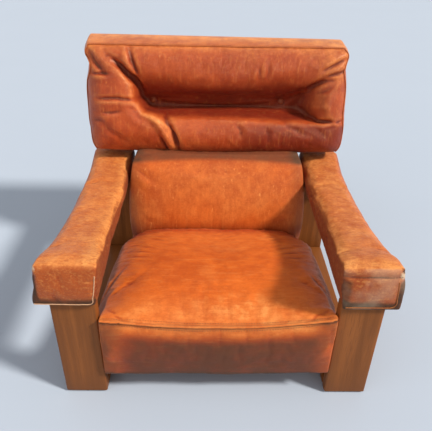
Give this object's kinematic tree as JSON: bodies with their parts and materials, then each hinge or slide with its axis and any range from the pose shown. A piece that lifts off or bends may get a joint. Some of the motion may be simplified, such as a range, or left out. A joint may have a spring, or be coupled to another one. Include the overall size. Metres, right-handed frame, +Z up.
{
  "type": "club chair",
  "caption": "Low wide club chair: plank wooden side frames, leather-wrapped arms, loose leather seat, lumbar and tufted head cushions, all creased and worn.",
  "frame": {"origin": "on the floor, centred under the chair's bounding box", "axes": "+Z up, +Y from the sitter's knees towards the back, +X to the right of the chair seen from the front"},
  "size_m": [0.88, 0.888, 0.7747],
  "materials": {
    "cushion_leather": "worn cognac aniline leather, satin where rubbed, creased",
    "arm_leather": "worn tan leather, rubbed pale on the inner edges",
    "back_leather": "cognac leather panel, less worn",
    "button_leather": "leather-covered button",
    "oak": "stained solid oak, satin oil, scuffed at the feet",
    "beech": "plain sawn beech",
    "foam": "aged polyurethane foam",
    "webbing": "woven elastic webbing",
    "glide": "moulded nylon",
    "bolt_steel": "zinc-plated steel",
    "zip_brass": "tarnished zip teeth"
  },
  "bodies": {
    "root": {"arm_board_left": "oak", "arm_board_right": "oak", "arm_cover_left": "arm_leather", "arm_cover_right": "arm_leather", "arm_foam_left": "foam", "arm_foam_right": "foam", "back_mid_rail": "beech", "back_post_left": "beech", "back_post_right": "beech", "back_rear_rail": "beech", "back_strap_1": "webbing", "back_strap_2": "webbing", "back_strap_3": "webbing", "back_strap_4": "webbing", "back_top_rail": "beech", "corner_block_left": "beech", "corner_block_right": "beech", "end_batten_left": "beech", "end_batten_right": "beech", "floor_runner_left": "oak", "floor_runner_right": "oak", "frame_bolt_front_left": "bolt_steel", "frame_bolt_front_right": "bolt_steel", "frame_bolt_rear_left": "bolt_steel", "frame_bolt_rear_right": "bolt_steel", "front_glide_left": "glide", "front_glide_right": "glide", "front_leg_left": "oak", "front_leg_right": "oak", "front_rail": "beech", "head_board": "beech", "head_button_left": "button_leather", "head_button_right": "button_leather", "head_cover": "cushion_leather", "head_foam": "foam", "head_zip": "zip_brass", "leg_block_left": "beech", "leg_block_right": "beech", "lumbar_cover": "cushion_leather", "lumbar_foam": "foam", "lumbar_zip": "zip_brass", "outer_back": "back_leather", "rear_glide_left": "glide", "rear_glide_right": "glide", "rear_leg_left": "oak", "rear_leg_right": "oak", "seat_cover": "cushion_leather", "seat_foam": "foam", "seat_strap_1": "webbing", "seat_strap_2": "webbing", "seat_strap_3": "webbing", "seat_strap_4": "webbing", "seat_strap_5": "webbing", "seat_strap_6": "webbing", "seat_welt": "cushion_leather", "seat_zip": "zip_brass", "side_rail_left": "beech", "side_rail_right": "beech", "wing_rail_left": "beech", "wing_rail_right": "beech"}
  },
  "joints": []
}
